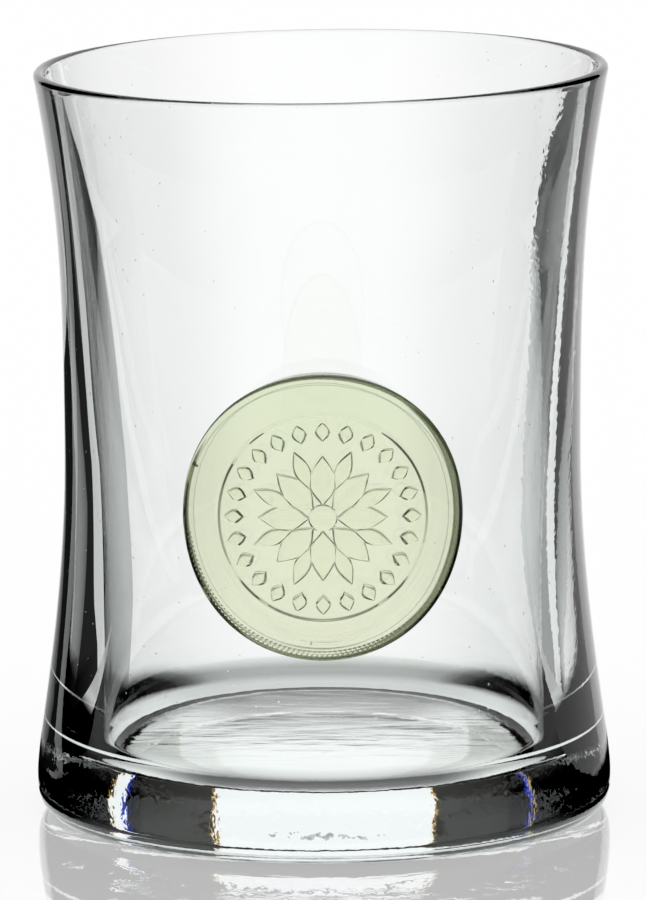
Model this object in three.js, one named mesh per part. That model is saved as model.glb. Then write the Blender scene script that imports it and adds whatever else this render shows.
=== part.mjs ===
// A waisted lowball glass: a clear tumbler with a heavy base and a green pressed-glass seal fused to
// its front. Millimetres, +Z up. The origin is the middle of the foot and the seal faces -Y.
import * as THREE from 'three';

// The tumbler's outline, from the rim down to the foot.
const GLASS_HEIGHT = 105;
const RIM_RADIUS = 40;
const LIP_THICKNESS = 1.6;
const RIM_FLARE_RISE = 18; // how far below the lip the flare's last straight stretch begins
const RIM_FLARE_RUN = 3.15; // how far out the flare leans over that stretch
const RIM_TILT = 0.41; // a hand-cut lip stands this much higher at +X, and lower at -X
const WAIST_RADIUS = 36.15;
const WAIST_HEIGHT = 51.5;
const WAIST_PULL_UP = 27; // how far the upright waist carries up and down into its curves
const WAIST_PULL_DOWN = 22.9;
const BELLY_RADIUS = 40.3;
const BELLY_HEIGHT = 5.1;
const BELLY_PULL_UP = 5.8;
const BELLY_PULL_DOWN = 2.6;
const FOOT_RADIUS = 38.4;
const FOOT_BEVEL = 0.75;
const HEEL_PULL = 0.9;
const HOLLOW_RADIUS = 29; // the underside is slightly hollow inside a flat resting ring
const HOLLOW_DEPTH = 0.6;

// The cavity: a wall that thickens downwards, a rounded corner and a flat floor.
const BASE_THICKNESS = 7.8;
const CORNER_WALL = 8;
const CORNER_RADIUS = 4.5;
const WALL_TAPER_POWER = 1.85;
const LIP_SWELL = 0.7; // the wall gains this much just below the lip
const LIP_SWELL_DROP = 12; // and most of it within this height

// The seal, a pressed disc bent round the wall.
const SEAL_RADIUS = 19.65;
const SEAL_THICKNESS = 2.5;
const SEAL_EDGE_ROUND = 0.5;
const SEAL_HEIGHT = 48.1;
const SEAL_CLEARANCE = 0.3;

// The seal's motif: petals and sepals round a boss, inside a wreath of leaves and a fine ridge.
const RELIEF_HEIGHT = 0.45;
const BOSS_RADIUS = 1.9;
const PETAL_COUNT = 8;
const PETAL_START = 1.7;
const PETAL_END = 8.6;
const PETAL_HALF_WIDTH = 1.75;
const SEPAL_START = 4.2;
const SEPAL_END = 9.9;
const SEPAL_HALF_WIDTH = 1.1;
const LEAF_COUNT = 24;
const LEAF_START = 10.6;
const LEAF_END = 13.2;
const LEAF_HALF_WIDTH = 0.95;
const RIDGE_RADIUS = 14.2;
const RIDGE_HALF_WIDTH = 0.4;
const RIDGE_HEIGHT = 0.2;

// Facets.
const LATHE_SECTORS = 72;
const BELLY_STEPS = 8;
const FLARE_STEPS = 10;
const HEEL_STEPS = 4;
const LIP_STEPS = 4;
const CAVITY_STEPS = 14;
const CORNER_STEPS = 4;
const HOLLOW_STEPS = 3;
const SEAL_SECTORS = 96;
const SEAL_FACE_RINGS = 22;
const SEAL_BACK_RINGS = 6;
const SEAL_EDGE_STEPS = 3;
const LOOKUP_STEPS = 60;

const glassMaterial = new THREE.MeshStandardMaterial({
  color: 0xeef5f2, roughness: 0.03, metalness: 0, transparent: true, opacity: 0.3,
});
const sealMaterial = new THREE.MeshStandardMaterial({
  color: 0xd5dcb6, roughness: 0.12, metalness: 0, transparent: true, opacity: 0.75,
});

const point = (radius, height) => new THREE.Vector2(radius, height);

function smoothStep(share) {
  const t = THREE.MathUtils.clamp(share, 0, 1);
  return t * t * (3 - 2 * t);
}

// The outside of the tumbler as three curves that share a tangent where they meet.
function outsideCurves() {
  const lipRadius = LIP_THICKNESS / 2;
  const heel = new THREE.CubicBezierCurve(
    point(FOOT_RADIUS + FOOT_BEVEL, FOOT_BEVEL),
    point(FOOT_RADIUS + FOOT_BEVEL + HEEL_PULL, FOOT_BEVEL + HEEL_PULL),
    point(BELLY_RADIUS, BELLY_HEIGHT - BELLY_PULL_DOWN),
    point(BELLY_RADIUS, BELLY_HEIGHT),
  );
  const belly = new THREE.CubicBezierCurve(
    point(BELLY_RADIUS, BELLY_HEIGHT),
    point(BELLY_RADIUS, BELLY_HEIGHT + BELLY_PULL_UP),
    point(WAIST_RADIUS, WAIST_HEIGHT - WAIST_PULL_DOWN),
    point(WAIST_RADIUS, WAIST_HEIGHT),
  );
  const flare = new THREE.CubicBezierCurve(
    point(WAIST_RADIUS, WAIST_HEIGHT),
    point(WAIST_RADIUS, WAIST_HEIGHT + WAIST_PULL_UP),
    point(RIM_RADIUS - RIM_FLARE_RUN, GLASS_HEIGHT - lipRadius - RIM_FLARE_RISE),
    point(RIM_RADIUS, GLASS_HEIGHT - lipRadius),
  );
  return { heel, belly, flare };
}

const outside = outsideCurves();
const outsideStations = [
  ...outside.heel.getPoints(LOOKUP_STEPS),
  ...outside.belly.getPoints(LOOKUP_STEPS),
  ...outside.flare.getPoints(LOOKUP_STEPS),
];

function outsideRadiusAt(height) {
  const next = outsideStations.findIndex((station) => station.y > height);
  if (next < 0) return RIM_RADIUS;
  if (next === 0) return outsideStations[0].x;
  const low = outsideStations[next - 1];
  const high = outsideStations[next];
  return THREE.MathUtils.mapLinear(height, low.y, high.y, low.x, high.x);
}

// The wall is as thin as the lip at the rim, swells quickly just below it, and then thickens more and
// more down to the floor, where it is about as thick as CORNER_WALL.
function wallThicknessAt(height) {
  const top = GLASS_HEIGHT - LIP_THICKNESS / 2;
  const bottom = BASE_THICKNESS + CORNER_RADIUS;
  const drop = Math.max(top - height, 0);
  const depth = Math.min(drop / (top - bottom), 1);
  const swell = LIP_SWELL * (1 - Math.exp(-drop / LIP_SWELL_DROP));
  return LIP_THICKNESS + swell + (CORNER_WALL - LIP_THICKNESS - LIP_SWELL) * depth ** WALL_TAPER_POWER;
}

// The tumbler's closed half section, from the middle of the underside round to the middle of the floor.
function tumblerSection() {
  const lipRadius = LIP_THICKNESS / 2;
  const underside = new THREE.QuadraticBezierCurve(
    point(0, HOLLOW_DEPTH), point(HOLLOW_RADIUS * 0.6, HOLLOW_DEPTH), point(HOLLOW_RADIUS, 0),
  );
  const lip = new THREE.EllipseCurve(
    RIM_RADIUS - lipRadius, GLASS_HEIGHT - lipRadius, lipRadius, lipRadius, 0, Math.PI,
  );
  const cavityTop = GLASS_HEIGHT - lipRadius;
  const cavityBottom = BASE_THICKNESS + CORNER_RADIUS;
  const cavity = [];
  for (let step = 1; step <= CAVITY_STEPS; step += 1) {
    const height = THREE.MathUtils.lerp(cavityTop, cavityBottom, step / CAVITY_STEPS);
    cavity.push(point(outsideRadiusAt(height) - wallThicknessAt(height), height));
  }
  const corner = new THREE.EllipseCurve(
    cavity.at(-1).x - CORNER_RADIUS, cavityBottom, CORNER_RADIUS, CORNER_RADIUS, 0, -Math.PI / 2, true,
  );
  return [
    ...underside.getPoints(HOLLOW_STEPS),
    point(FOOT_RADIUS, 0),
    ...outside.heel.getPoints(HEEL_STEPS),
    ...outside.belly.getPoints(BELLY_STEPS).slice(1),
    ...outside.flare.getPoints(FLARE_STEPS).slice(1),
    ...lip.getPoints(LIP_STEPS).slice(1),
    ...cavity,
    ...corner.getPoints(CORNER_STEPS).slice(1),
    point(0, BASE_THICKNESS),
  ];
}

function makeTumbler() {
  const geometry = new THREE.LatheGeometry(tumblerSection(), LATHE_SECTORS);
  geometry.rotateX(Math.PI / 2);
  const positions = geometry.getAttribute('position');
  for (let i = 0; i < positions.count; i += 1) {
    const height = positions.getZ(i);
    const share = smoothStep((height - WAIST_HEIGHT) / (GLASS_HEIGHT - WAIST_HEIGHT));
    positions.setZ(i, height + RIM_TILT * share * (positions.getX(i) / RIM_RADIUS));
  }
  geometry.computeVertexNormals();
  const mesh = new THREE.Mesh(geometry, glassMaterial);
  mesh.name = 'glass_body';
  return mesh;
}

// One pointed leaf that lies along a radius: 0 outside it, 1 along its middle.
function leafShape(distance, offAngle, start, end, halfWidth) {
  const along = (distance - start) / (end - start);
  if (along <= 0 || along >= 1) return 0;
  const width = halfWidth * Math.sin(Math.PI * along);
  const across = Math.abs(distance * Math.sin(offAngle)) / width;
  return across < 1 ? Math.sqrt(1 - across * across) : 0;
}

function offAxisAngle(angle, count, shift) {
  const pitch = (2 * Math.PI) / count;
  return THREE.MathUtils.euclideanModulo(angle + (0.5 - shift) * pitch, pitch) - pitch / 2;
}

// The height of the motif above the seal's face at a distance and an angle from its middle.
function reliefAt(distance, angle) {
  const boss = distance < BOSS_RADIUS ? Math.sqrt(1 - (distance / BOSS_RADIUS) ** 2) : 0;
  const petal = leafShape(
    distance, offAxisAngle(angle, PETAL_COUNT, 0), PETAL_START, PETAL_END, PETAL_HALF_WIDTH,
  );
  const sepal = leafShape(
    distance, offAxisAngle(angle, PETAL_COUNT, 0.5), SEPAL_START, SEPAL_END, SEPAL_HALF_WIDTH,
  );
  const leaf = leafShape(
    distance, offAxisAngle(angle, LEAF_COUNT, 0), LEAF_START, LEAF_END, LEAF_HALF_WIDTH,
  );
  const offRidge = Math.abs(distance - RIDGE_RADIUS) / RIDGE_HALF_WIDTH;
  const ridge = offRidge < 1 ? 1 - offRidge : 0;
  return Math.max(RELIEF_HEIGHT * Math.max(boss, petal, sepal, leaf), RIDGE_HEIGHT * ridge);
}

// Bends a point of the flat seal round the wall. The layer midway through it keeps its outline.
function bendRoundWall(across, up, lift) {
  const middleRadius = outsideRadiusAt(SEAL_HEIGHT) + SEAL_CLEARANCE + SEAL_THICKNESS / 2;
  const angle = across / middleRadius;
  const height = SEAL_HEIGHT + up;
  const radius = outsideRadiusAt(height) + SEAL_CLEARANCE + lift;
  return [radius * Math.sin(angle), -radius * Math.cos(angle), height];
}

// The rings of the seal, from the middle of its face over the rounded edge to the middle of its back.
function sealRings() {
  const rings = [];
  const flatRadius = SEAL_RADIUS - SEAL_EDGE_ROUND;
  for (let step = 1; step <= SEAL_FACE_RINGS; step += 1) {
    const distance = (flatRadius * step) / SEAL_FACE_RINGS;
    rings.push({ distance, lift: SEAL_THICKNESS, raised: true });
  }
  for (let step = 1; step <= SEAL_EDGE_STEPS; step += 1) {
    const turn = ((Math.PI / 2) * step) / SEAL_EDGE_STEPS;
    const distance = flatRadius + SEAL_EDGE_ROUND * Math.sin(turn);
    rings.push({ distance, lift: SEAL_THICKNESS - SEAL_EDGE_ROUND * (1 - Math.cos(turn)), raised: false });
  }
  for (let step = SEAL_BACK_RINGS; step >= 1; step -= 1) {
    rings.push({ distance: (SEAL_RADIUS * step) / SEAL_BACK_RINGS, lift: 0, raised: false });
  }
  return rings;
}

function makeSeal() {
  const vertices = [...bendRoundWall(0, 0, SEAL_THICKNESS + reliefAt(0, 0))];
  const rings = sealRings();
  for (const { distance, lift, raised } of rings) {
    for (let sector = 0; sector < SEAL_SECTORS; sector += 1) {
      const angle = (2 * Math.PI * sector) / SEAL_SECTORS;
      const height = lift + (raised ? reliefAt(distance, angle) : 0);
      vertices.push(...bendRoundWall(distance * Math.cos(angle), distance * Math.sin(angle), height));
    }
  }
  vertices.push(...bendRoundWall(0, 0, 0));
  const lastVertex = vertices.length / 3 - 1;
  const at = (ring, sector) => 1 + ring * SEAL_SECTORS + (sector % SEAL_SECTORS);
  const triangles = [];
  for (let sector = 0; sector < SEAL_SECTORS; sector += 1) {
    triangles.push(0, at(0, sector), at(0, sector + 1));
    for (let ring = 0; ring + 1 < rings.length; ring += 1) {
      triangles.push(at(ring, sector), at(ring + 1, sector), at(ring + 1, sector + 1));
      triangles.push(at(ring, sector), at(ring + 1, sector + 1), at(ring, sector + 1));
    }
    triangles.push(lastVertex, at(rings.length - 1, sector + 1), at(rings.length - 1, sector));
  }
  const geometry = new THREE.BufferGeometry();
  geometry.setAttribute('position', new THREE.Float32BufferAttribute(vertices, 3));
  geometry.setIndex(triangles);
  geometry.computeVertexNormals();
  const mesh = new THREE.Mesh(geometry, sealMaterial);
  mesh.name = 'medallion';
  return mesh;
}

const glass = new THREE.Group();
glass.add(makeTumbler(), makeSeal());

export default glass;
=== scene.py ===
# Dresses the lowball glass: a clear waisted tumbler and the green pressed seal fused to its front.
import math

import bpy
import numpy as np
from mathutils import Euler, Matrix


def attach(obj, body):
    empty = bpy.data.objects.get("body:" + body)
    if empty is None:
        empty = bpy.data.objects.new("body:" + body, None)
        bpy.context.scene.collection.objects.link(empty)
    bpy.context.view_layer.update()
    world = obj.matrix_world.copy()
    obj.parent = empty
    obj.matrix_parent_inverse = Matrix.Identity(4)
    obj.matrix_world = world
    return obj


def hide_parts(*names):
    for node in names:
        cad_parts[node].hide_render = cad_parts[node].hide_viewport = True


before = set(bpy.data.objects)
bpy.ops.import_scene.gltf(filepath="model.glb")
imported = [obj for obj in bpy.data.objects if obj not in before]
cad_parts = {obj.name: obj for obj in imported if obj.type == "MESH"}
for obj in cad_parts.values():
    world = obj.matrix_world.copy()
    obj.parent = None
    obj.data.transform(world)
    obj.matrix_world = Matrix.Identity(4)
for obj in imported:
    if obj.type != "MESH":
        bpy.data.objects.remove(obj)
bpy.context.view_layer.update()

MM = 0.001
MM_IN_METRE = 1000.0

# The tumbler's outline, the same values as the CAD solid's, in millimetres.
GLASS_HEIGHT = 105.0
RIM_RADIUS = 40.0
LIP_THICKNESS = 1.6
RIM_FLARE_RISE = 18.0
RIM_FLARE_RUN = 3.15
RIM_TILT = 0.41
WAIST_RADIUS = 36.15
WAIST_HEIGHT = 51.5
WAIST_PULL_UP = 27.0
WAIST_PULL_DOWN = 22.9
BELLY_RADIUS = 40.3
BELLY_HEIGHT = 5.1
BELLY_PULL_UP = 5.8
BELLY_PULL_DOWN = 2.6
FOOT_RADIUS = 38.4
FOOT_BEVEL = 0.75
HEEL_PULL = 0.9
HOLLOW_RADIUS = 29.0
HOLLOW_DEPTH = 0.6
BASE_THICKNESS = 7.8
CORNER_WALL = 8.0
CORNER_RADIUS = 4.5
WALL_TAPER_POWER = 1.85
LIP_SWELL = 0.7
LIP_SWELL_DROP = 12.0

# The seal and its motif, in millimetres. The nick's angle is in degrees. The seal's back lies the gap
# off the wall, which is narrower than the solid's clearance, because a wide gap shows as a mirror.
SEAL_RADIUS = 19.65
SEAL_THICKNESS = 2.5
SEAL_EDGE_ROUND = 0.8
SEAL_HEIGHT = 48.1
SEAL_CLEARANCE = 0.3
SEAL_GAP = 0.05
RELIEF_HEIGHT = 0.45
BOSS_RADIUS = 1.9
PETAL_COUNT = 8
PETAL_START = 1.7
PETAL_END = 8.6
PETAL_HALF_WIDTH = 1.75
SEPAL_START = 4.2
SEPAL_END = 9.9
SEPAL_HALF_WIDTH = 1.1
LEAF_COUNT = 24
LEAF_START = 10.6
LEAF_END = 13.2
LEAF_HALF_WIDTH = 0.95
RIDGE_RADIUS = 14.2
RIDGE_HALF_WIDTH = 0.4
RIDGE_HEIGHT = 0.2
TICK_COUNT = 180
TICK_BAND = (18.3, 18.8)
TICK_HEIGHT = 0.2
ARC_PITCH = 0.85
ARC_BAND = (14.9, 18.1)
ARC_HEIGHT = 0.009
LOWER_HALF_STEEPNESS = 2.5
NICK_ANGLE = 158.6
NICK_HALF_WIDTH = 0.25
NICK_DEPTH = 0.5
NARROWEST_LEAF = 1e-6

# How finely the two meshes are divided. A cap's innermost ring lies a little off its middle, and the
# resting ring has a loop near its hollow and one near its edge.
LOOKUP_STEPS = 600
TUMBLER_SECTORS = 288
OUTSIDE_STEPS = 90
LIP_STEPS = 20
CAVITY_STEPS = 130
CORNER_STEPS = 24
HOLLOW_RINGS = 40
FLOOR_RINGS = 48
FLOOR_FIRST_SHARE = 0.97
INNERMOST_SHARE = 0.02
SEAL_SECTORS = 720
SEAL_FACE_RINGS = 240
SEAL_EDGE_STEPS = 8
SEAL_BACK_RINGS = 40
SEAL_BACK_INNERMOST = 0.3
FOOT_RING_STEP = 4.0
FOOT_EDGE_STEP = 0.06

# The waves, ripples and pits of the two glasses, as heights in millimetres.
SLOW_WAVE = 0.02
WALL_RIPPLE = 0.0035
FLOOR_RIPPLE = 0.1
BLOCK_RIPPLE = 0.025
SEED_DEPTH = 0.04
SEAL_WAVE = 0.012
SEAL_GRAIN = 0.004

# About how many waves there are in a millimetre along x, y and z.
SLOW_WAVES = (0.10, 0.10, 0.035)
WALL_WAVES = (1.0, 1.0, 1.0)
FLOOR_WAVES = (0.09, 0.38, 0.38)
BLOCK_WAVES = (1.0, 1.0, 0.8)
CLOUD_WAVES = (0.05, 0.05, 0.05)
SEAL_WAVES = (0.25, 0.25, 0.25)
SEAL_GRAIN_WAVES = (1.1, 1.1, 1.1)

# Pits lie in cells of a grid, so many to the millimetre. Their size is a share of a cell, and their
# rarity is the share of cells that stay bare.
SEED_CELLS = 0.7
SEED_SIZE = 0.1
SEED_RARITY = 0.8
SEAL_SEED_SIZE = 0.12
SEAL_SEED_RARITY = 0.9

# Where the tumbler's ripples begin, as (none here, full here) pairs: heights for a top, bottom or foot,
# distances from the axis for an edge or skin, and x for the right side.
RIPPLED_FLOOR_TOP = (9.2, 8.1)
RIPPLED_FLOOR_BOTTOM = (6.5, 7.2)
RIPPLED_FLOOR_EDGE = (33.0, 30.0)
RIPPLED_BLOCK_TOP = (14.0, 9.0)
RIPPLED_BLOCK_SKIN = (37.0, 38.0)
RIPPLED_WALL_FOOT = (12.0, 22.0)
RIPPLED_RIGHT_SIDE = (20.0, 27.0)

# The colours of the two glasses, and how strongly they take up light. The seal has a painted dark
# shade round its edge, centred a little off its middle, and a painted shade line inside that. Both
# stand in for the dark that its rounded edge refracts.
GLASS_IOR = 1.51
CLOUD_RANGE = 0.3
GLASS_ABSORPTION = (0.80, 0.92, 0.95, 1.0)
GLASS_DENSITY = 4.0
SEAL_ABSORPTION = (0.70, 0.755, 0.40, 1.0)
SEAL_DENSITY = 250.0
GLASS_COOL = (0.975, 0.99, 0.985, 1.0)
GLASS_NEUTRAL = (1.0, 1.0, 1.0, 1.0)
SEAL_PALE = (1.0, 1.0, 0.99, 1.0)
# Painted shade: the seal's top colour, darker and greener than the rest.
SEAL_SHADED_TOP_GREEN = (0.965, 0.985, 0.955, 1.0)
# Painted edge shade: its olive, the band's off-centre shift and span, and the line inside it.
SEAL_SHADE_OLIVE = (0.07, 0.085, 0.045, 1.0)
SEAL_EDGE_SHADE_SHIFT = -0.28
SEAL_EDGE_SHADE_SPAN = (19.0, 19.2)
SEAL_SHADE_LINE = 18.35
SEAL_SHADE_LINE_HALF_WIDTH = 0.16
SEAL_SHADE_LINE_STRENGTH = 0.55
# Where the painted top shade begins, above the seal's middle.
SEAL_TOP_SHADE_START = 4.0

# The photograph's camera, fitted to the glass's outline, rim and foot.
PHOTO_LONG_SIDE = 900
CAMERA_DISTANCE = 1250.0
CAMERA_HEIGHT = 270.25
CAMERA_PITCH = 0.1739
CAMERA_ROLL = -0.005
CAMERA_SIDESTEP = 0.13
FOCAL_PIXELS = 9061.0
SENSOR_WIDTH = 36.0
CAMERA_CLIP_END = 20.0

# The studio. Angles are in degrees from straight behind the glass, and lengths in millimetres.
FLOOR_HALF_SIZE = 3000.0
FLOOR_DROP = 0.03
FLOOR_PAINT = (0.97, 0.97, 0.97, 1.0)
FLOOR_ROUGHNESS = 0.02
FLOOR_WHITE_SHARE = 0.66
FLOOR_MIRROR_SHARE = 0.48
FLAG_DISTANCE = 420.0
FLAG_COLOUR = (0.016, 0.016, 0.012)
BLACK = (0.0, 0.0, 0.0)
WHITE = (1.0, 1.0, 1.0)
WARM_FRINGE = (0.75, 0.5, 0.16)
BLUE_FRINGE = (0.03, 0.08, 0.7)
FRINGE = 0.55
FRINGE_RAISE = 40.0
FLOOR_TINT = (0.96, 1.0, 0.97)
WING_DISTANCE = 800.0
CARD_SLOPE = 1.1
CARD_STEP = 12.0
CARD_GAP = 1.0
FLAG_START = 13.1
FLAG_EDGE_START = 25.2
RIGHT_SLIT_START = 28.1
RIGHT_WING_START = 34.5
LEFT_SLIT_START = 29.7
LEFT_WING_START = 32.9
WING_FADE_START = 100.0
WING_END = 150.0
LEFT_FLAG_RAISE = 30.0
CEILING_HEIGHT = 900.0
CEILING_HALF_WIDTH = 750.0
CEILING_LIGHT = (0.5, 0.5, 0.5, 1.0)
LEFT_SLIT_LIGHT = (0.3, 0.3, 0.3)

# Where the light on the floor changes beside the glass. Each point is (behind the axis, to the side).
LEFT_WHITE_END = (
    (28, 42), (45, 47), (68, 51), (88, 54), (137, 65), (203, 75), (283, 86), (340, 96), (368, 110)
)
LEFT_GREY_END = (
    (28, 50), (67, 78), (98, 98), (120, 101), (164, 112), (230, 112), (267, 106), (340, 97), (368, 111)
)
LEFT_DARK_END = (
    (28, 80), (38, 87), (56, 92), (90, 112), (139, 138), (197, 162), (224, 176), (368, 250)
)
LEFT_BRIGHT_END = (
    (28, 92), (44, 104), (74, 126), (121, 154), (168, 186), (203, 205), (368, 320)
)
RIGHT_WHITE_END = (
    (28, 62), (51, 70), (65, 68), (80, 65), (115, 66), (172, 73), (202, 77), (287, 84), (350, 85), (412, 88)
)
RIGHT_GREY_END = (
    (28, 64), (51, 80), (67, 90), (105, 100), (141, 100), (180, 104), (276, 96), (353, 86), (412, 89)
)
RIGHT_DARK_END = (
    (28, 65), (43, 73), (58, 86), (90, 104), (135, 134), (196, 167), (230, 176), (412, 270)
)
RIGHT_BRIGHT_END = (
    (28, 72), (38, 80), (51, 96), (79, 121), (119, 155), (172, 187), (203, 207), (412, 340)
)

# How bright the grey, dark and bright bands are at their inner and outer edges, how bright the floor
# outside them is, and the dark sheets that cover the floor farther round the glass.
LEFT_LEVELS = ((0.58, 0.15), (0.02, 0.02), (0.7, 0.7))
RIGHT_LEVELS = ((0.75, 0.3), (0.02, 0.02), (0.95, 0.95))
LEFT_GLOW = 0.0
RIGHT_GLOW = 0.38
GLOW_END = 80.0
GLOW_FADE = 30.0
BAND_LIFT = 0.2
OUTER_ANGLE = 75.0
BESIDE_START = 42.0
BESIDE_REACH = 420.0
BESIDE_FADE_START = 150.0
BESIDE_END = 140.0
BESIDE_END_FADE_START = 110.0
BAND_ROWS = 40
BESIDE_ROWS = 40
BESIDE_COLUMNS = 25

# The shadow on the floor under and close behind the foot, as (radius, brightness) points.
UNDER_FRONT = (
    (0, 1.0), (14, 0.95), (20, 0.7), (24, 0.4), (28, 0.15), (35, 0.1), (37, 0.6), (39, 0.9)
)
UNDER_BACK = (
    (0, 1.0), (14, 0.95), (19, 0.7), (23, 0.15), (28, 0.05), (35, 0.05), (37, 0.5), (39, 0.65)
)
UNDER_SIDE = ((0, 1.0), (28, 0.95), (34, 0.6), (39, 0.9))
UNDER_BACK_END = 50.0
UNDER_BACK_FADE = 25.0
UNDER_FRONT_START = 120.0
UNDER_FRONT_FADE = 28.0
FOOT_EDGE = 44.0
BEHIND_MIDDLE = ((44, 0.65), (48, 0.4), (53, 0.4), (60, 0.65), (72, 0.95))
BEHIND_CORNER = ((44, 0.9), (47, 0.0), (67, 0.0), (74, 0.9))
NEAR_DARK_END = 66.0
NEAR_DARK_FADE = 8.0
SHADE_START = 0.5
SHADE_REACH = 78.0
SHADE_FADE_START = 68.0
CORNER_START = 22.0
CORNER_FULL = 34.0
BEHIND_FADE = 10.0
SHADE_SINK = 0.015
SHADE_ROWS = 96
SHADE_COLUMNS = 73

# How many times light is followed in all, and at most how many of those are reflections.
LIGHT_BOUNCES = 16
INNER_REFLECTIONS = 3


def smooth_step(share):
    t = np.clip(share, 0.0, 1.0)
    return t * t * (3.0 - 2.0 * t)


def bezier(p0, p1, p2, p3, steps):
    """Points of a cubic curve, as an array of (radius, height) rows."""
    t = np.linspace(0.0, 1.0, steps + 1)[:, None]
    p0, p1, p2, p3 = (np.array(p) for p in (p0, p1, p2, p3))
    return (1 - t) ** 3 * p0 + 3 * (1 - t) ** 2 * t * p1 + 3 * (1 - t) * t ** 2 * p2 + t ** 3 * p3


def arc(centre, radius, start, end, steps):
    turn = np.linspace(start, end, steps + 1)
    return np.stack([centre[0] + radius * np.cos(turn), centre[1] + radius * np.sin(turn)], axis=1)


def outside_curves(steps):
    lip_centre = GLASS_HEIGHT - LIP_THICKNESS / 2
    heel = bezier(
        (FOOT_RADIUS + FOOT_BEVEL, FOOT_BEVEL),
        (FOOT_RADIUS + FOOT_BEVEL + HEEL_PULL, FOOT_BEVEL + HEEL_PULL),
        (BELLY_RADIUS, BELLY_HEIGHT - BELLY_PULL_DOWN),
        (BELLY_RADIUS, BELLY_HEIGHT),
        steps // 3,
    )
    belly = bezier(
        (BELLY_RADIUS, BELLY_HEIGHT),
        (BELLY_RADIUS, BELLY_HEIGHT + BELLY_PULL_UP),
        (WAIST_RADIUS, WAIST_HEIGHT - WAIST_PULL_DOWN),
        (WAIST_RADIUS, WAIST_HEIGHT),
        steps,
    )
    flare = bezier(
        (WAIST_RADIUS, WAIST_HEIGHT),
        (WAIST_RADIUS, WAIST_HEIGHT + WAIST_PULL_UP),
        (RIM_RADIUS - RIM_FLARE_RUN, lip_centre - RIM_FLARE_RISE),
        (RIM_RADIUS, lip_centre),
        steps,
    )
    return np.vstack([heel, belly[1:], flare[1:]])


LOOKUP = outside_curves(LOOKUP_STEPS)


def outside_radius_at(height):
    return np.interp(height, LOOKUP[:, 1], LOOKUP[:, 0])


def seal_middle_radius():
    """How far the layer midway through the seal lies from the axis."""
    return float(outside_radius_at(SEAL_HEIGHT)) + SEAL_CLEARANCE + SEAL_THICKNESS / 2


def wall_thickness_at(height):
    """Thin at the lip, a quick swell just below it, then thicker and thicker down to the floor."""
    top = GLASS_HEIGHT - LIP_THICKNESS / 2
    bottom = BASE_THICKNESS + CORNER_RADIUS
    drop = np.maximum(top - height, 0.0)
    depth = np.clip(drop / (top - bottom), 0.0, 1.0)
    swell = LIP_SWELL * (1.0 - np.exp(-drop / LIP_SWELL_DROP))
    return LIP_THICKNESS + swell + (CORNER_WALL - LIP_THICKNESS - LIP_SWELL) * depth ** WALL_TAPER_POWER


def new_mesh_object(name, vertices, faces, material):
    mesh = bpy.data.meshes.new(name)
    mesh.from_pydata([tuple(v) for v in vertices], [], faces)
    mesh.validate()
    mesh.shade_smooth()
    mesh.materials.append(material)
    obj = bpy.data.objects.new(name, mesh)
    bpy.context.scene.collection.objects.link(obj)
    return obj


def revolved_faces(rings, sectors, first):
    """Quads between rings that hold the same number of sectors, from vertex number first."""
    faces = []
    for ring in range(rings - 1):
        low = first + ring * sectors
        for sector in range(sectors):
            after = (sector + 1) % sectors
            faces.append((low + sector, low + after, low + sectors + after, low + sectors + sector))
    return faces


def capped_faces(rings, sectors):
    """Faces of a closed form whose first and last vertices are the tips of two fans."""
    faces = revolved_faces(rings, sectors, 1)
    last = 1 + rings * sectors
    top = last - sectors
    for sector in range(sectors):
        after = (sector + 1) % sectors
        faces.append((0, 1 + after, 1 + sector))
        faces.append((last, top + sector, top + after))
    return faces


def node(tree, kind, inputs=None, **settings):
    """Adds one shader node, with its settings and the plain values of its inputs."""
    made = tree.nodes.new(kind)
    for key, value in settings.items():
        setattr(made, key, value)
    for key, value in (inputs or {}).items():
        made.inputs[key].default_value = value
    return made


def new_material(name):
    material = bpy.data.materials.new(name)
    material.use_nodes = True
    tree = material.node_tree
    tree.nodes.clear()
    output = node(tree, "ShaderNodeOutputMaterial")
    return material, tree, output


# Materials


# A Mix node's sockets for colours, which it holds beside those for numbers and vectors.
MIX_COLOUR_INPUTS = (6, 7)
MIX_COLOUR_OUTPUT = 2


def math_node(tree, operation, first, second, **settings):
    """A Math node. Each input is a number or another node's output."""
    made = node(tree, "ShaderNodeMath", operation=operation, **settings)
    for slot, value in enumerate((first, second)):
        if isinstance(value, (int, float)):
            made.inputs[slot].default_value = value
        else:
            tree.links.new(value, made.inputs[slot])
    return made.outputs[0]


def length(tree, across, along):
    """The length of a flat vector whose two parts are other nodes' outputs."""
    square_across = math_node(tree, "MULTIPLY", across, across)
    square_along = math_node(tree, "MULTIPLY", along, along)
    return math_node(tree, "SQRT", math_node(tree, "ADD", square_across, square_along), 0.0)


def ramp_up(tree, value, start, end):
    """A smooth share of 0 below start and 1 above end, or the other way round where start is larger."""
    low, high = min(start, end), max(start, end)
    made = node(tree, "ShaderNodeMapRange", {
        "From Min": low, "From Max": high,
        "To Min": 0.0 if start < end else 1.0, "To Max": 1.0 if start < end else 0.0,
    }, interpolation_type="SMOOTHSTEP")
    tree.links.new(value, made.inputs["Value"])
    return made.outputs["Result"]


def object_axes(tree):
    """The piece's own x, y and z, in millimetres, and the vector that they make."""
    place = node(tree, "ShaderNodeTexCoord")
    scaled = node(tree, "ShaderNodeVectorMath", {1: (MM_IN_METRE,) * 3}, operation="MULTIPLY")
    tree.links.new(place.outputs["Object"], scaled.inputs[0])
    split = node(tree, "ShaderNodeSeparateXYZ")
    tree.links.new(scaled.outputs["Vector"], split.inputs["Vector"])
    return split.outputs["X"], split.outputs["Y"], split.outputs["Z"], scaled.outputs["Vector"]


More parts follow.
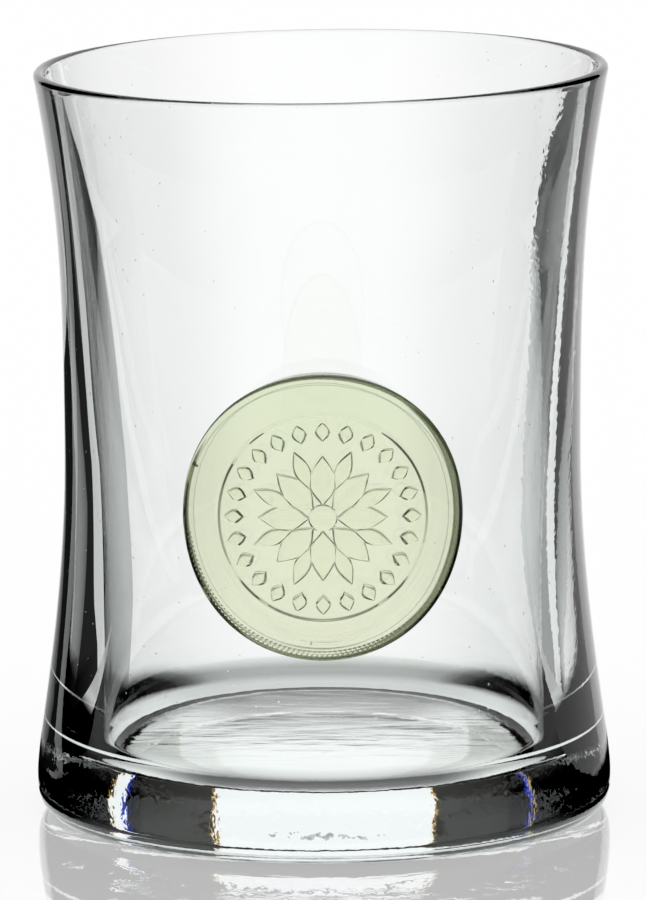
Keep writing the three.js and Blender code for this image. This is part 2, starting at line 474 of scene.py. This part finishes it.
def waves(tree, vector, stretch, detail=1.0):
    """Noise from -0.5 to 0.5, with about stretch waves to the millimetre along each axis."""
    mapped = node(tree, "ShaderNodeVectorMath", {1: stretch}, operation="MULTIPLY")
    tree.links.new(vector, mapped.inputs[0])
    noise = node(tree, "ShaderNodeTexNoise", {"Scale": 1.0, "Detail": detail, "Roughness": 0.5})
    tree.links.new(mapped.outputs["Vector"], noise.inputs["Vector"])
    return math_node(tree, "SUBTRACT", noise.outputs["Fac"], 0.5)


def add_up(tree, terms):
    """The sum of (value, amount, mask) terms, as a height in millimetres."""
    total = 0.0
    for value, amount, mask in terms:
        scaled = math_node(tree, "MULTIPLY", value, amount)
        total = math_node(tree, "ADD", total, math_node(tree, "MULTIPLY", scaled, mask))
    return total


def glass_surface(tree, output, height, colour):
    """Clear refracting glass whose surface is bent by a height in millimetres."""
    shader = node(tree, "ShaderNodeBsdfPrincipled", {
        "Base Color": (1.0, 1.0, 1.0, 1.0),
        "Roughness": 0.0,
        "IOR": GLASS_IOR,
        "Transmission Weight": 1.0,
    })
    bump = node(tree, "ShaderNodeBump", {"Strength": 1.0, "Distance": MM})
    tree.links.new(height, bump.inputs["Height"])
    tree.links.new(bump.outputs["Normal"], shader.inputs["Normal"])
    tree.links.new(colour, shader.inputs["Base Color"])
    tree.links.new(shader.outputs["BSDF"], output.inputs["Surface"])


def absorb(tree, output, colour, density):
    absorption = node(tree, "ShaderNodeVolumeAbsorption", {"Color": colour, "Density": density})
    tree.links.new(absorption.outputs["Volume"], output.inputs["Volume"])


def mix_colours(tree, share, first, second):
    """From the first colour to the second. A colour is four numbers or another node's output."""
    made = node(tree, "ShaderNodeMix", data_type="RGBA")
    tree.links.new(share, made.inputs[0])
    for slot, colour in zip(MIX_COLOUR_INPUTS, (first, second)):
        if isinstance(colour, tuple):
            made.inputs[slot].default_value = colour
        else:
            tree.links.new(colour, made.inputs[slot])
    return made.outputs[MIX_COLOUR_OUTPUT]


def seeds(tree, vector, size, rarity):
    """Small round pits in some cells of a grid."""
    cells = node(tree, "ShaderNodeTexVoronoi", {"Scale": SEED_CELLS, "Randomness": 1.0})
    tree.links.new(vector, cells.inputs["Vector"])
    pit = ramp_up(tree, cells.outputs["Distance"], size, 0.0)
    pick = node(tree, "ShaderNodeSeparateColor")
    tree.links.new(cells.outputs["Color"], pick.inputs["Color"])
    chosen = math_node(tree, "GREATER_THAN", pick.outputs[0], rarity)
    return math_node(tree, "MULTIPLY", pit, chosen)


def clear_glass():
    """Clear glass with slow waves and seeds. Its right wall, cavity floor and block are rippled."""
    material, tree, output = new_material("clear_glass")
    x, y, z, vector = object_axes(tree)
    radius = length(tree, x, y)
    on_floor = math_node(
        tree, "MULTIPLY", ramp_up(tree, z, *RIPPLED_FLOOR_TOP), ramp_up(tree, radius, *RIPPLED_FLOOR_EDGE)
    )
    on_floor = math_node(tree, "MULTIPLY", on_floor, ramp_up(tree, z, *RIPPLED_FLOOR_BOTTOM))
    on_block = math_node(
        tree, "MULTIPLY", ramp_up(tree, z, *RIPPLED_BLOCK_TOP), ramp_up(tree, radius, *RIPPLED_BLOCK_SKIN)
    )
    on_wall = ramp_up(tree, z, *RIPPLED_WALL_FOOT)
    on_right = math_node(tree, "MULTIPLY", on_wall, ramp_up(tree, x, *RIPPLED_RIGHT_SIDE))
    height = add_up(tree, (
        (waves(tree, vector, SLOW_WAVES), SLOW_WAVE, on_wall),
        (waves(tree, vector, WALL_WAVES), WALL_RIPPLE, on_right),
        (waves(tree, vector, FLOOR_WAVES, detail=2.0), FLOOR_RIPPLE, on_floor),
        (waves(tree, vector, BLOCK_WAVES), BLOCK_RIPPLE, on_block),
        (seeds(tree, vector, SEED_SIZE, SEED_RARITY), -SEED_DEPTH, on_wall),
    ))
    cloud = ramp_up(tree, waves(tree, vector, CLOUD_WAVES), -CLOUD_RANGE, CLOUD_RANGE)
    colour = mix_colours(tree, cloud, GLASS_COOL, GLASS_NEUTRAL)
    glass_surface(tree, output, height, colour)
    absorb(tree, output, GLASS_ABSORPTION, GLASS_DENSITY)
    return material


def green_glass():
    """Pale yellow-green glass, with painted shade that makes its top darker and greener. Its rolled
    edge has a painted dark shade, thicker on the right.
    """
    material, tree, output = new_material("green_glass")
    x, y, z, vector = object_axes(tree)
    up = math_node(tree, "SUBTRACT", z, SEAL_HEIGHT)
    turn = math_node(tree, "ARCTAN2", x, math_node(tree, "MULTIPLY", y, -1.0))
    across = math_node(tree, "MULTIPLY", turn, seal_middle_radius())
    distance = length(tree, math_node(tree, "SUBTRACT", across, SEAL_EDGE_SHADE_SHIFT), up)
    # Painted shade: an olive band round the edge and a fainter line inside it, for the refracted dark.
    edge = ramp_up(tree, distance, *SEAL_EDGE_SHADE_SPAN)
    shade_line = math_node(
        tree, "MULTIPLY",
        ramp_up(tree, distance, SEAL_SHADE_LINE - SEAL_SHADE_LINE_HALF_WIDTH, SEAL_SHADE_LINE),
        ramp_up(tree, distance, SEAL_SHADE_LINE + SEAL_SHADE_LINE_HALF_WIDTH, SEAL_SHADE_LINE),
    )
    # Painted shade: from a little above the middle, the top turns darker and greener.
    top = ramp_up(tree, up, SEAL_TOP_SHADE_START, SEAL_RADIUS)
    colour = mix_colours(tree, top, SEAL_PALE, SEAL_SHADED_TOP_GREEN)
    shade_line_share = math_node(tree, "MULTIPLY", shade_line, SEAL_SHADE_LINE_STRENGTH)
    colour = mix_colours(tree, shade_line_share, colour, SEAL_SHADE_OLIVE)
    colour = mix_colours(tree, edge, colour, SEAL_SHADE_OLIVE)
    height = add_up(tree, (
        (waves(tree, vector, SEAL_WAVES, detail=2.0), SEAL_WAVE, 1.0),
        (waves(tree, vector, SEAL_GRAIN_WAVES, detail=2.0), SEAL_GRAIN, 1.0),
        (seeds(tree, vector, SEAL_SEED_SIZE, SEAL_SEED_RARITY), -SEED_DEPTH, 1.0),
    ))
    glass_surface(tree, output, height, colour)
    absorb(tree, output, SEAL_ABSORPTION, SEAL_DENSITY)
    return material


# Tumbler


def tumbler_section():
    """The half section, from the underside up and over the lip, and down the cavity to its floor."""
    lip_radius = LIP_THICKNESS / 2
    lip_centre = (RIM_RADIUS - lip_radius, GLASS_HEIGHT - lip_radius)
    hollow = np.linspace(INNERMOST_SHARE, 1.0, HOLLOW_RINGS)
    underside = np.stack([HOLLOW_RADIUS * hollow, HOLLOW_DEPTH * (1 - hollow ** 2) ** 2], axis=1)
    ring_radii = (HOLLOW_RADIUS + FOOT_RING_STEP, FOOT_RADIUS - FOOT_EDGE_STEP, FOOT_RADIUS)
    ring = np.array([[radius, 0.0] for radius in ring_radii])
    outside = outside_curves(OUTSIDE_STEPS)
    lip = arc(lip_centre, lip_radius, 0.0, math.pi, LIP_STEPS)[1:]
    heights = np.linspace(GLASS_HEIGHT - lip_radius, BASE_THICKNESS + CORNER_RADIUS, CAVITY_STEPS)[1:]
    cavity = np.stack([outside_radius_at(heights) - wall_thickness_at(heights), heights], axis=1)
    corner_centre = (cavity[-1, 0] - CORNER_RADIUS, BASE_THICKNESS + CORNER_RADIUS)
    corner = arc(corner_centre, CORNER_RADIUS, 0.0, -math.pi / 2, CORNER_STEPS)[1:]
    shares = np.linspace(FLOOR_FIRST_SHARE, INNERMOST_SHARE, FLOOR_RINGS)
    floor = np.array([[corner[-1, 0] * share, BASE_THICKNESS] for share in shares])
    return np.vstack([underside, ring, outside, lip, cavity, corner, floor])


def tilt_lip(vertices):
    share = smooth_step((vertices[:, 2] - WAIST_HEIGHT) / (GLASS_HEIGHT - WAIST_HEIGHT))
    vertices[:, 2] += RIM_TILT * share * vertices[:, 0] / RIM_RADIUS


def make_tumbler(material):
    sectors = TUMBLER_SECTORS
    section = tumbler_section()
    turn = np.linspace(0.0, 2 * math.pi, sectors, endpoint=False)
    radius = section[:, 0][:, None]
    rings = np.stack([
        radius * np.cos(turn),
        radius * np.sin(turn),
        np.repeat(section[:, 1][:, None], sectors, axis=1),
    ], axis=2).reshape(-1, 3)
    vertices = np.vstack([[[0.0, 0.0, HOLLOW_DEPTH]], rings, [[0.0, 0.0, BASE_THICKNESS]]])
    tilt_lip(vertices)
    return new_mesh_object("tumbler", vertices * MM, capped_faces(len(section), sectors), material)


# Seal


def leaf_shape(distance, off_angle, start, end, half_width):
    """A pointed leaf along a radius, as a share of its height: 1 along its middle and 0 outside it."""
    along = np.clip((distance - start) / (end - start), 0.0, 1.0)
    width = half_width * np.sin(math.pi * along)
    across = np.abs(distance * np.sin(off_angle)) / np.maximum(width, NARROWEST_LEAF)
    inside = (along > 0.0) & (along < 1.0)
    return np.sqrt(np.clip(1.0 - across ** 2, 0.0, 1.0)) * inside


def off_axis_angle(angle, count, shift):
    pitch = 2 * math.pi / count
    return np.mod(angle + (0.5 - shift) * pitch, pitch) - pitch / 2


def relief_at(distance, angle):
    boss = np.sqrt(np.clip(1 - (distance / BOSS_RADIUS) ** 2, 0, 1))
    petal = leaf_shape(
        distance, off_axis_angle(angle, PETAL_COUNT, 0), PETAL_START, PETAL_END, PETAL_HALF_WIDTH
    )
    sepal = leaf_shape(
        distance, off_axis_angle(angle, PETAL_COUNT, 0.5), SEPAL_START, SEPAL_END, SEPAL_HALF_WIDTH
    )
    leaf = leaf_shape(
        distance, off_axis_angle(angle, LEAF_COUNT, 0), LEAF_START, LEAF_END, LEAF_HALF_WIDTH
    )
    ridge = np.clip(1 - np.abs(distance - RIDGE_RADIUS) / RIDGE_HALF_WIDTH, 0, 1)
    motif = np.maximum(np.maximum(boss, petal), np.maximum(sepal, leaf))
    return np.maximum(RELIEF_HEIGHT * motif, RIDGE_HEIGHT * ridge) + edge_marks(distance, angle)


def in_band(distance, band):
    return (distance > band[0]) & (distance < band[1])


def edge_marks(distance, angle):
    """Fine ticks and faint arcs in the lower half, and one nick in the left edge."""
    lower = smooth_step(-np.sin(angle) * LOWER_HALF_STEEPNESS)
    ticks = TICK_HEIGHT * np.clip(np.sin(angle * TICK_COUNT), 0, 1) * in_band(distance, TICK_BAND)
    arcs = ARC_HEIGHT * np.sin(2 * math.pi * distance / ARC_PITCH) * in_band(distance, ARC_BAND)
    off_nick = np.abs(np.angle(np.exp(1j * (angle - math.radians(NICK_ANGLE))))) * distance
    nick = NICK_DEPTH * np.clip(1 - off_nick / NICK_HALF_WIDTH, 0, 1) * (distance > TICK_BAND[0])
    return lower * (ticks + arcs) - nick


def bend_round_wall(across, up, lift):
    """Bends points of the flat seal round the wall. The layer midway through it keeps its outline."""
    angle = across / seal_middle_radius()
    height = SEAL_HEIGHT + up
    radius = outside_radius_at(height) + SEAL_CLEARANCE + lift
    return np.stack([radius * np.sin(angle), -radius * np.cos(angle), height], axis=-1)


def make_seal(material):
    sectors = SEAL_SECTORS
    flat_radius = SEAL_RADIUS - SEAL_EDGE_ROUND
    back_lift = SEAL_GAP - SEAL_CLEARANCE
    face = np.linspace(0.0, flat_radius, SEAL_FACE_RINGS + 1)[1:]
    edge_turn = np.linspace(0.0, math.pi / 2, SEAL_EDGE_STEPS + 1)[1:]
    edge = flat_radius + SEAL_EDGE_ROUND * np.sin(edge_turn)
    edge_lift = SEAL_THICKNESS - SEAL_EDGE_ROUND * (1 - np.cos(edge_turn))
    back = np.linspace(SEAL_RADIUS, SEAL_BACK_INNERMOST, SEAL_BACK_RINGS)
    distance = np.concatenate([face, edge, back])
    lift = np.concatenate([np.full(len(face), SEAL_THICKNESS), edge_lift, np.full(len(back), back_lift)])
    raised = np.concatenate([np.ones(len(face)), np.zeros(len(edge) + len(back))])
    turn = np.linspace(0.0, 2 * math.pi, sectors, endpoint=False)
    distance = distance[:, None] * np.ones(sectors)
    angle = np.ones(len(lift))[:, None] * turn
    height = lift[:, None] + raised[:, None] * relief_at(distance, angle)
    rings = bend_round_wall(distance * np.cos(angle), distance * np.sin(angle), height).reshape(-1, 3)
    zero = np.zeros(1)
    middle = bend_round_wall(zero, zero, SEAL_THICKNESS + relief_at(zero, zero))
    last = bend_round_wall(zero, zero, zero + back_lift)
    vertices = np.vstack([middle, rings, last])
    faces = [tuple(reversed(face)) for face in capped_faces(len(lift), sectors)]
    return new_mesh_object("seal", vertices * MM, faces, material)


# Camera, floor and studio


def make_camera():
    data = bpy.data.cameras.new("camera")
    data.sensor_width = SENSOR_WIDTH
    data.lens = FOCAL_PIXELS * SENSOR_WIDTH / PHOTO_LONG_SIDE
    data.clip_end = CAMERA_CLIP_END
    camera = bpy.data.objects.new("camera", data)
    camera.location = (CAMERA_SIDESTEP * MM, -CAMERA_DISTANCE * MM, CAMERA_HEIGHT * MM)
    aim = Euler((math.pi / 2 - CAMERA_PITCH, 0.0, 0.0)).to_matrix()
    roll = Euler((0.0, 0.0, CAMERA_ROLL)).to_matrix()
    camera.rotation_euler = (aim @ roll).to_euler()
    bpy.context.scene.collection.objects.link(camera)
    bpy.context.scene.camera = camera
    return camera


def make_world():
    world = bpy.data.worlds.new("studio")
    bpy.context.scene.world = world
    world.use_nodes = True
    background = world.node_tree.nodes["Background"]
    background.inputs["Color"].default_value = (1.0, 1.0, 1.0, 1.0)
    background.inputs["Strength"].default_value = 1.0


def make_floor():
    """A white glossy table. Where the camera sees it, even through glass, it partly lights itself."""
    material, tree, output = new_material("floor")
    matt = node(tree, "ShaderNodeBsdfDiffuse", {"Color": FLOOR_PAINT})
    glow = node(tree, "ShaderNodeEmission", {"Color": (1.0, 1.0, 1.0, 1.0), "Strength": 1.0})
    mirror = node(tree, "ShaderNodeBsdfGlossy", {
        "Color": (1.0, 1.0, 1.0, 1.0), "Roughness": FLOOR_ROUGHNESS,
    })
    path = node(tree, "ShaderNodeLightPath")
    seen = node(tree, "ShaderNodeMath", operation="MAXIMUM")
    seen_through = node(tree, "ShaderNodeMath", operation="MAXIMUM")
    white_share = node(tree, "ShaderNodeMath", {1: FLOOR_WHITE_SHARE}, operation="MULTIPLY")
    body = node(tree, "ShaderNodeMixShader")
    table = node(tree, "ShaderNodeMixShader", {"Fac": FLOOR_MIRROR_SHARE})
    tree.links.new(path.outputs["Is Camera Ray"], seen.inputs[0])
    tree.links.new(path.outputs["Is Glossy Ray"], seen.inputs[1])
    tree.links.new(seen.outputs[0], seen_through.inputs[0])
    tree.links.new(path.outputs["Is Transmission Ray"], seen_through.inputs[1])
    tree.links.new(seen_through.outputs[0], white_share.inputs[0])
    tree.links.new(white_share.outputs[0], body.inputs["Fac"])
    tree.links.new(matt.outputs["BSDF"], body.inputs[1])
    tree.links.new(glow.outputs["Emission"], body.inputs[2])
    tree.links.new(body.outputs["Shader"], table.inputs[1])
    tree.links.new(mirror.outputs["BSDF"], table.inputs[2])
    tree.links.new(table.outputs["Shader"], output.inputs["Surface"])
    size = FLOOR_HALF_SIZE * MM
    drop = -FLOOR_DROP * MM
    corners = [(-size, -size, drop), (size, -size, drop), (size, size, drop), (-size, size, drop)]
    floor = new_mesh_object("floor", corners, [(0, 1, 2, 3)], material)


def card_material():
    """Light of the colour that each point of a card holds."""
    material, tree, output = new_material("card_light")
    colour = node(tree, "ShaderNodeAttribute", attribute_name="light")
    glow = node(tree, "ShaderNodeEmission")
    tree.links.new(colour.outputs["Color"], glow.inputs["Color"])
    tree.links.new(glow.outputs["Emission"], output.inputs["Surface"])
    return material


def place_card(name, corners, faces, material, studio):
    """A card, in millimetres, that throws no shadow. Neither the camera nor a matt surface sees it."""
    card = new_mesh_object(name, [(x * MM, y * MM, z * MM) for x, y, z in corners], faces, material)
    card.parent = studio
    card.visible_camera = False
    card.visible_diffuse = False
    card.visible_shadow = False
    return card


def light_card(name, corners, faces, light, material, studio):
    """A card that gives off the light listed for its corners, as rows of red, green, blue and alpha."""
    card = place_card(name, corners, faces, material, studio)
    attribute = card.data.color_attributes.new("light", "FLOAT_COLOR", "POINT")
    attribute.data.foreach_set("color", np.asarray(light, dtype=float).ravel())
    return card


def upright_card(name, distance, angles, raised, colours, material, studio):
    """A card bent round the glass between two angles. Its light goes from one colour to the other."""
    steps = max(1, math.ceil(abs(angles[1] - angles[0]) / CARD_STEP))
    share = np.linspace(0.0, 1.0, steps + 1)
    turn = np.radians(angles[0] + share * (angles[1] - angles[0]))
    top = distance * CARD_SLOPE
    foot = [(distance * math.sin(angle), distance * math.cos(angle), raised) for angle in turn]
    head = [(x, y, top) for x, y, _ in foot]
    faces = [(step, step + 1, step + steps + 2, step + steps + 1) for step in range(steps)]
    first, last = (np.array((*colour, 1.0)) for colour in colours)
    light = first + share[:, None] * (last - first)
    return light_card(name, foot + head, faces, np.vstack([light, light]), material, studio)


def ceiling_card(material, studio):
    """A grey card over the glass, which the cavity's floor and the base mirror."""
    half = CEILING_HALF_WIDTH
    outline = ((-half, -half), (half, -half), (half, half), (-half, half))
    corners = [(x, y, CEILING_HEIGHT) for x, y in outline]
    light = [CEILING_LIGHT] * len(corners)
    light_card("ceiling", corners, [(0, 1, 2, 3)], light, material, studio)


def floor_light_material():
    """Light of the level that each point of a sheet holds, over its cover. Only its upper face shows."""
    material, tree, output = new_material("floor_light")
    level = node(tree, "ShaderNodeAttribute", attribute_name="level")
    cover = node(tree, "ShaderNodeAttribute", attribute_name="cover")
    geometry = node(tree, "ShaderNodeNewGeometry")
    front = node(tree, "ShaderNodeMath", {0: 1.0}, operation="SUBTRACT")
    share = node(tree, "ShaderNodeMath", operation="MULTIPLY")
    glow = node(tree, "ShaderNodeEmission")
    clear = node(tree, "ShaderNodeBsdfTransparent")
    mix = node(tree, "ShaderNodeMixShader")
    tree.links.new(geometry.outputs["Backfacing"], front.inputs[1])
    tree.links.new(front.outputs[0], share.inputs[0])
    tree.links.new(cover.outputs["Fac"], share.inputs[1])
    tint = node(tree, "ShaderNodeVectorMath", {1: FLOOR_TINT}, operation="MULTIPLY")
    tree.links.new(level.outputs["Fac"], tint.inputs[0])
    tree.links.new(tint.outputs["Vector"], glow.inputs["Color"])
    tree.links.new(share.outputs[0], mix.inputs["Fac"])
    tree.links.new(clear.outputs["BSDF"], mix.inputs[1])
    tree.links.new(glow.outputs["Emission"], mix.inputs[2])
    tree.links.new(mix.outputs["Shader"], output.inputs["Surface"])
    return material


def floor_sheet(name, x, y, lift, level, cover, material, studio):
    """A grid of points just over the floor. Each has the brightness of the floor there and its cover."""
    rows, columns = x.shape
    corners = [(px, py, lift) for px, py in zip(x.ravel(), y.ravel())]
    faces = []
    for row in range(rows - 1):
        for column in range(columns - 1):
            first = row * columns + column
            faces.append((first, first + 1, first + columns + 1, first + columns))
    turn = (x[0, 1] - x[0, 0]) * (y[1, 1] - y[0, 1]) - (y[0, 1] - y[0, 0]) * (x[1, 1] - x[0, 1])
    if turn < 0:
        faces = [face[::-1] for face in faces]
    sheet = place_card(name, corners, faces, material, studio)
    for key, values in (("level", level), ("cover", cover)):
        attribute = sheet.data.attributes.new(key, "FLOAT", "POINT")
        attribute.data.foreach_set("value", np.broadcast_to(values, x.shape).astype(float).ravel())
    return sheet


def value_at(points, place):
    return np.interp(place, [point[0] for point in points], [point[1] for point in points])


def floor_bands(name, side, edges, levels, glow, material, studio):
    """The bands of light on the floor beside the glass, a glow outside them, and a dark sheet."""
    behind = np.linspace(edges[0][0][0], edges[0][-1][0], BAND_ROWS)
    across = [value_at(edge, behind) for edge in edges]
    outer = np.minimum(behind * math.tan(math.radians(OUTER_ANGLE)), WING_DISTANCE)
    across.append(np.maximum(outer, across[-1]))
    glow_here = glow * (1.0 - smooth_step((behind - GLOW_END) / GLOW_FADE))[:, None]
    for band, pair in enumerate(levels + ((1.0, 1.0),)):
        x = side * np.stack(across[band:band + 2], axis=1)
        y = np.stack([behind, behind], axis=1)
        near = smooth_step((np.hypot(x, y) - NEAR_DARK_END) / NEAR_DARK_FADE)
        level = np.array([pair]) * near * (glow_here if band == len(levels) else 1.0)
        sheet = floor_sheet("%s_band_%d" % (name, band), x, y, BAND_LIFT, level, 1.0, material, studio)
        sheet.visible_glossy = side < 0
    angle, radius = np.meshgrid(
        np.linspace(OUTER_ANGLE, BESIDE_END, BESIDE_COLUMNS),
        np.linspace(BESIDE_START, BESIDE_REACH, BESIDE_ROWS),
    )
    x = side * radius * np.sin(np.radians(angle))
    y = radius * np.cos(np.radians(angle))
    cover = 1.0 - smooth_step((radius - BESIDE_FADE_START) / (BESIDE_REACH - BESIDE_FADE_START))
    cover *= 1.0 - smooth_step((angle - BESIDE_END_FADE_START) / (BESIDE_END - BESIDE_END_FADE_START))
    floor_sheet(name + "_beside", x, y, BAND_LIFT, 0.0, cover, material, studio)


def foot_shadow(material, studio):
    """The shadow that the foot leaves on the floor: a dark ring under it and dark corners behind it."""
    turn, radius = np.meshgrid(
        np.linspace(-math.pi, math.pi, SHADE_COLUMNS),
        np.linspace(SHADE_START, SHADE_REACH, SHADE_ROWS),
    )
    off_middle = np.degrees(np.abs(turn))
    corner = smooth_step((off_middle - CORNER_START) / (CORNER_FULL - CORNER_START))
    middle_level = value_at(BEHIND_MIDDLE, radius)
    level = middle_level + corner * (value_at(BEHIND_CORNER, radius) - middle_level)
    back = smooth_step((UNDER_BACK_END - off_middle) / UNDER_BACK_FADE)
    front = smooth_step((off_middle - UNDER_FRONT_START) / UNDER_FRONT_FADE)
    under = (back * value_at(UNDER_BACK, radius) + front * value_at(UNDER_FRONT, radius)
             + (1.0 - back - front) * value_at(UNDER_SIDE, radius))
    level = np.where(radius < FOOT_EDGE, under, level)
    behind = 1.0 - smooth_step((off_middle - OUTER_ANGLE) / BEHIND_FADE)
    fade = 1.0 - smooth_step((radius - SHADE_FADE_START) / (SHADE_REACH - SHADE_FADE_START))
    cover = np.where(radius < FOOT_EDGE, 1.0, behind * fade)
    x = radius * np.sin(turn)
    y = radius * np.cos(turn)
    floor_sheet("foot_shadow", x, y, -SHADE_SINK, level, cover, material, studio)


def make_studio(camera):
    """Dark cards round a narrow white backdrop. They stay square to the camera, wherever it stands."""
    studio = bpy.data.objects.new("studio", None)
    bpy.context.scene.collection.objects.link(studio)
    turn = studio.constraints.new("LOCKED_TRACK")
    turn.target = camera
    turn.lock_axis = "LOCK_Z"
    turn.track_axis = "TRACK_NEGATIVE_Y"
    paint = card_material()
    light = floor_light_material()
    left_edges = (LEFT_WHITE_END, LEFT_GREY_END, LEFT_DARK_END, LEFT_BRIGHT_END)
    right_edges = (RIGHT_WHITE_END, RIGHT_GREY_END, RIGHT_DARK_END, RIGHT_BRIGHT_END)
    for side, name, raised, slit, wing, edges, levels, glow in (
        (-1, "left", LEFT_FLAG_RAISE, LEFT_SLIT_START, LEFT_WING_START, left_edges, LEFT_LEVELS, LEFT_GLOW),
        (1, "right", 0.0, RIGHT_SLIT_START, RIGHT_WING_START, right_edges, RIGHT_LEVELS, RIGHT_GLOW),
    ):
        for part, start, end, first, last in (
            ("flag", FLAG_START, FLAG_EDGE_START, FLAG_COLOUR, FLAG_COLOUR),
            ("flag_edge", FLAG_EDGE_START, slit, BLACK, BLACK),
            ("fringe", FLAG_START - FRINGE, FLAG_START, WARM_FRINGE, BLACK),
            ("slit_fringe", slit - FRINGE, slit + FRINGE, BLACK, BLUE_FRINGE),
        ):
            distance = FLAG_DISTANCE - (CARD_GAP if "fringe" in part else 0.0)
            ends = (side * start, side * end)
            foot = FRINGE_RAISE if "fringe" in part else raised
            flag = upright_card(part + "_" + name, distance, ends, foot, (first, last), paint, studio)
            flag.visible_glossy = False
        for part, start, end, first, last in (
            ("wing", wing, WING_FADE_START, BLACK, BLACK),
            ("wing_edge", wing - FRINGE, wing, WARM_FRINGE, BLACK),
            ("wing_end", WING_FADE_START, WING_END, BLACK, WHITE),
        ):
            ends = (side * start, side * end)
            upright_card(part + "_" + name, WING_DISTANCE, ends, 0.0, (first, last), paint, studio)
        floor_bands(name, side, edges, levels, glow, light, studio)
    ends = (-LEFT_SLIT_START, -LEFT_WING_START)
    colours = (LEFT_SLIT_LIGHT, LEFT_SLIT_LIGHT)
    upright_card("slit_left", WING_DISTANCE + CARD_GAP, ends, 0.0, colours, paint, studio)
    ceiling_card(paint, studio)
    foot_shadow(light, studio)


camera = make_camera()
tumbler = make_tumbler(clear_glass())
seal = make_seal(green_glass())
for piece, cad_node, slot in ((tumbler, "glass_body", "clear_glass"), (seal, "medallion", "green_glass")):
    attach(piece, "root")
    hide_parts(cad_node)

make_world()
make_floor()
make_studio(camera)

bpy.context.scene.view_settings.view_transform = "Standard"
cycles = bpy.context.scene.cycles
cycles.max_bounces = LIGHT_BOUNCES
cycles.glossy_bounces = INNER_REFLECTIONS
cycles.transmission_bounces = LIGHT_BOUNCES
